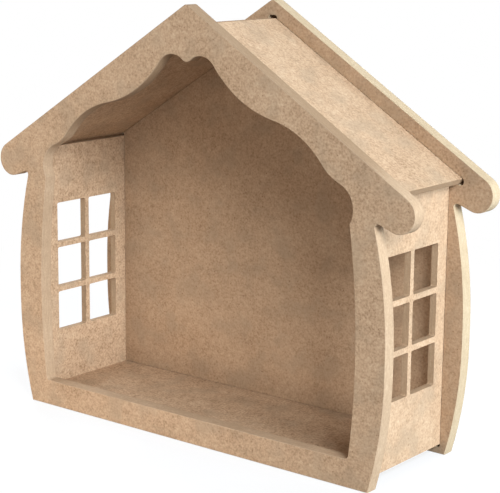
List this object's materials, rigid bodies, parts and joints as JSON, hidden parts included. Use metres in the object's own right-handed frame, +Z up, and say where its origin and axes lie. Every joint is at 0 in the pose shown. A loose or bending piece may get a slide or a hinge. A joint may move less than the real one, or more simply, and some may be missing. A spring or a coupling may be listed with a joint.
{
  "type": "house-shaped wall shelf",
  "caption": "Open-fronted wall shelf shaped like a small house, with a scalloped gable frame, bowed sides, pitched roof and side walls with window bars, in raw fibreboard.",
  "frame": {"origin": "middle of the shelf's underside: half-way between the sides, half-way between the front and the back face, at the height of the bottom edges", "axes": "+X to the viewer's right, +Y towards the wall, +Z up"},
  "size_m": [0.45, 0.128, 0.3738],
  "materials": {
    "panel_board": "raw sanded fibreboard",
    "inner_board": "raw sanded fibreboard"
  },
  "bodies": {
    "root": {"front_frame": "panel_board", "back_panel": "panel_board", "left_wall": "inner_board", "right_wall": "inner_board", "left_roof": "inner_board", "right_roof": "inner_board", "floor_panel": "inner_board"}
  },
  "joints": []
}
